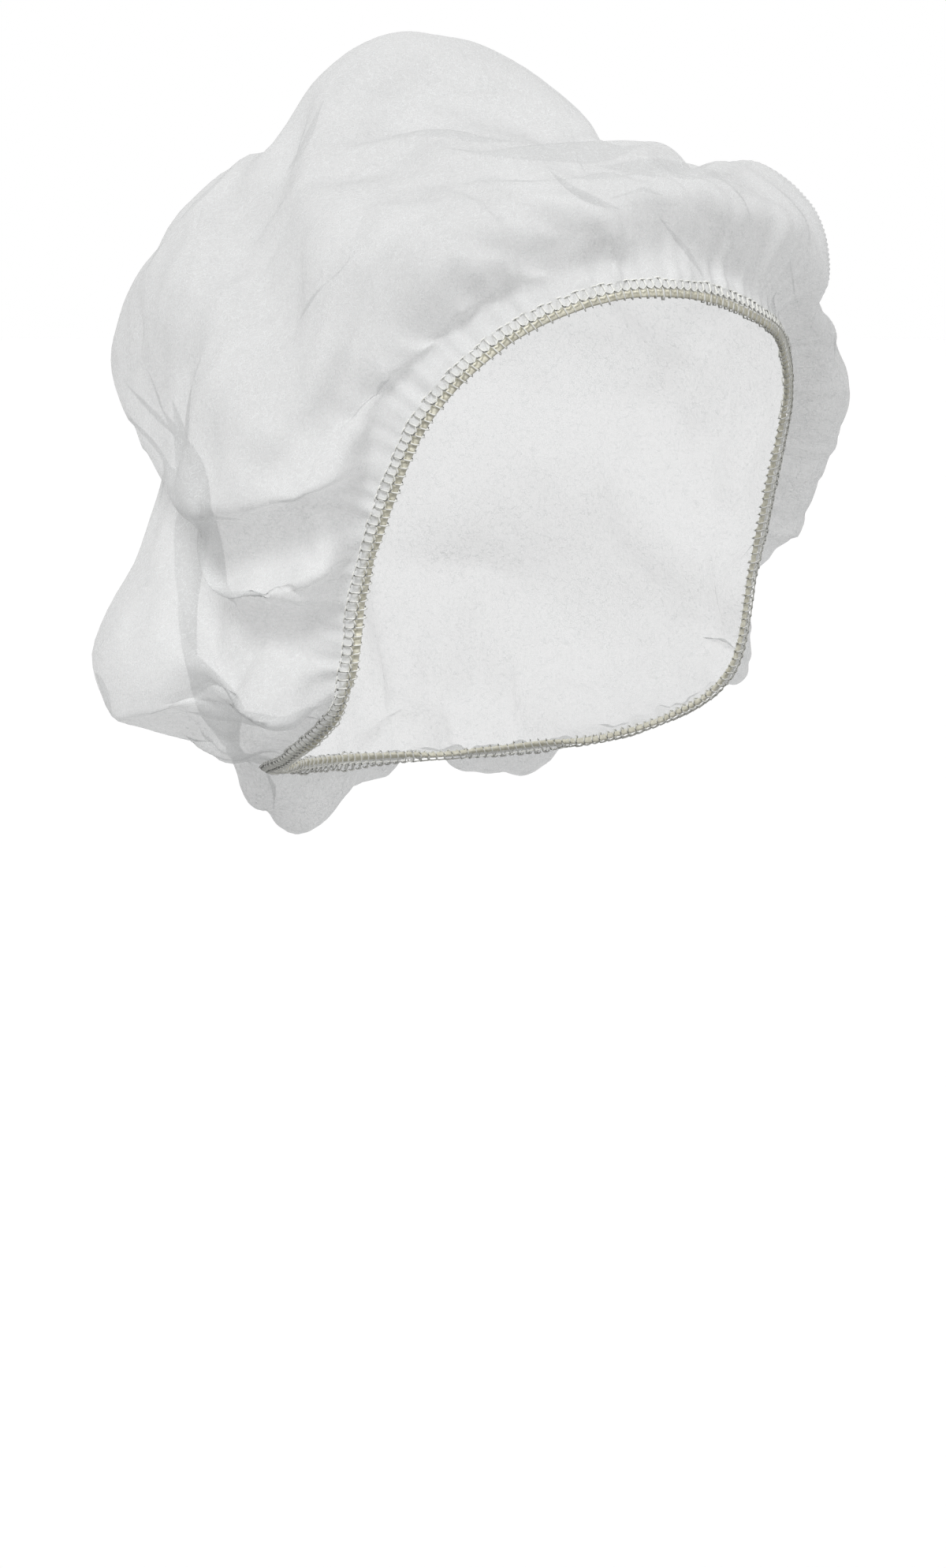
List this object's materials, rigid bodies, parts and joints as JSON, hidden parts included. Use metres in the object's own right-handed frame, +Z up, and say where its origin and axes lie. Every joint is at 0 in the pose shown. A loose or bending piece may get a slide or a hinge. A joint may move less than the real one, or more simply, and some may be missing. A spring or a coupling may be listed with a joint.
{
  "type": "bouffant cap",
  "caption": "Disposable bouffant cap in its worn form: a round sheet of sheer white nonwoven cloth, gathered onto an elastic band and puffed out over the head.",
  "frame": {"origin": "middle of the head opening, where the head sits when the cap is worn", "axes": "+Z up, the wearer faces -Y, +X towards the wearer's left"},
  "size_m": [0.2217, 0.2064, 0.2368],
  "materials": {
    "nonwoven": "matte, sheer web of fine fibres",
    "elastic": "satin, covered elastic"
  },
  "bodies": {
    "root": {"crown": "nonwoven", "elastic_band": "elastic"}
  },
  "joints": []
}
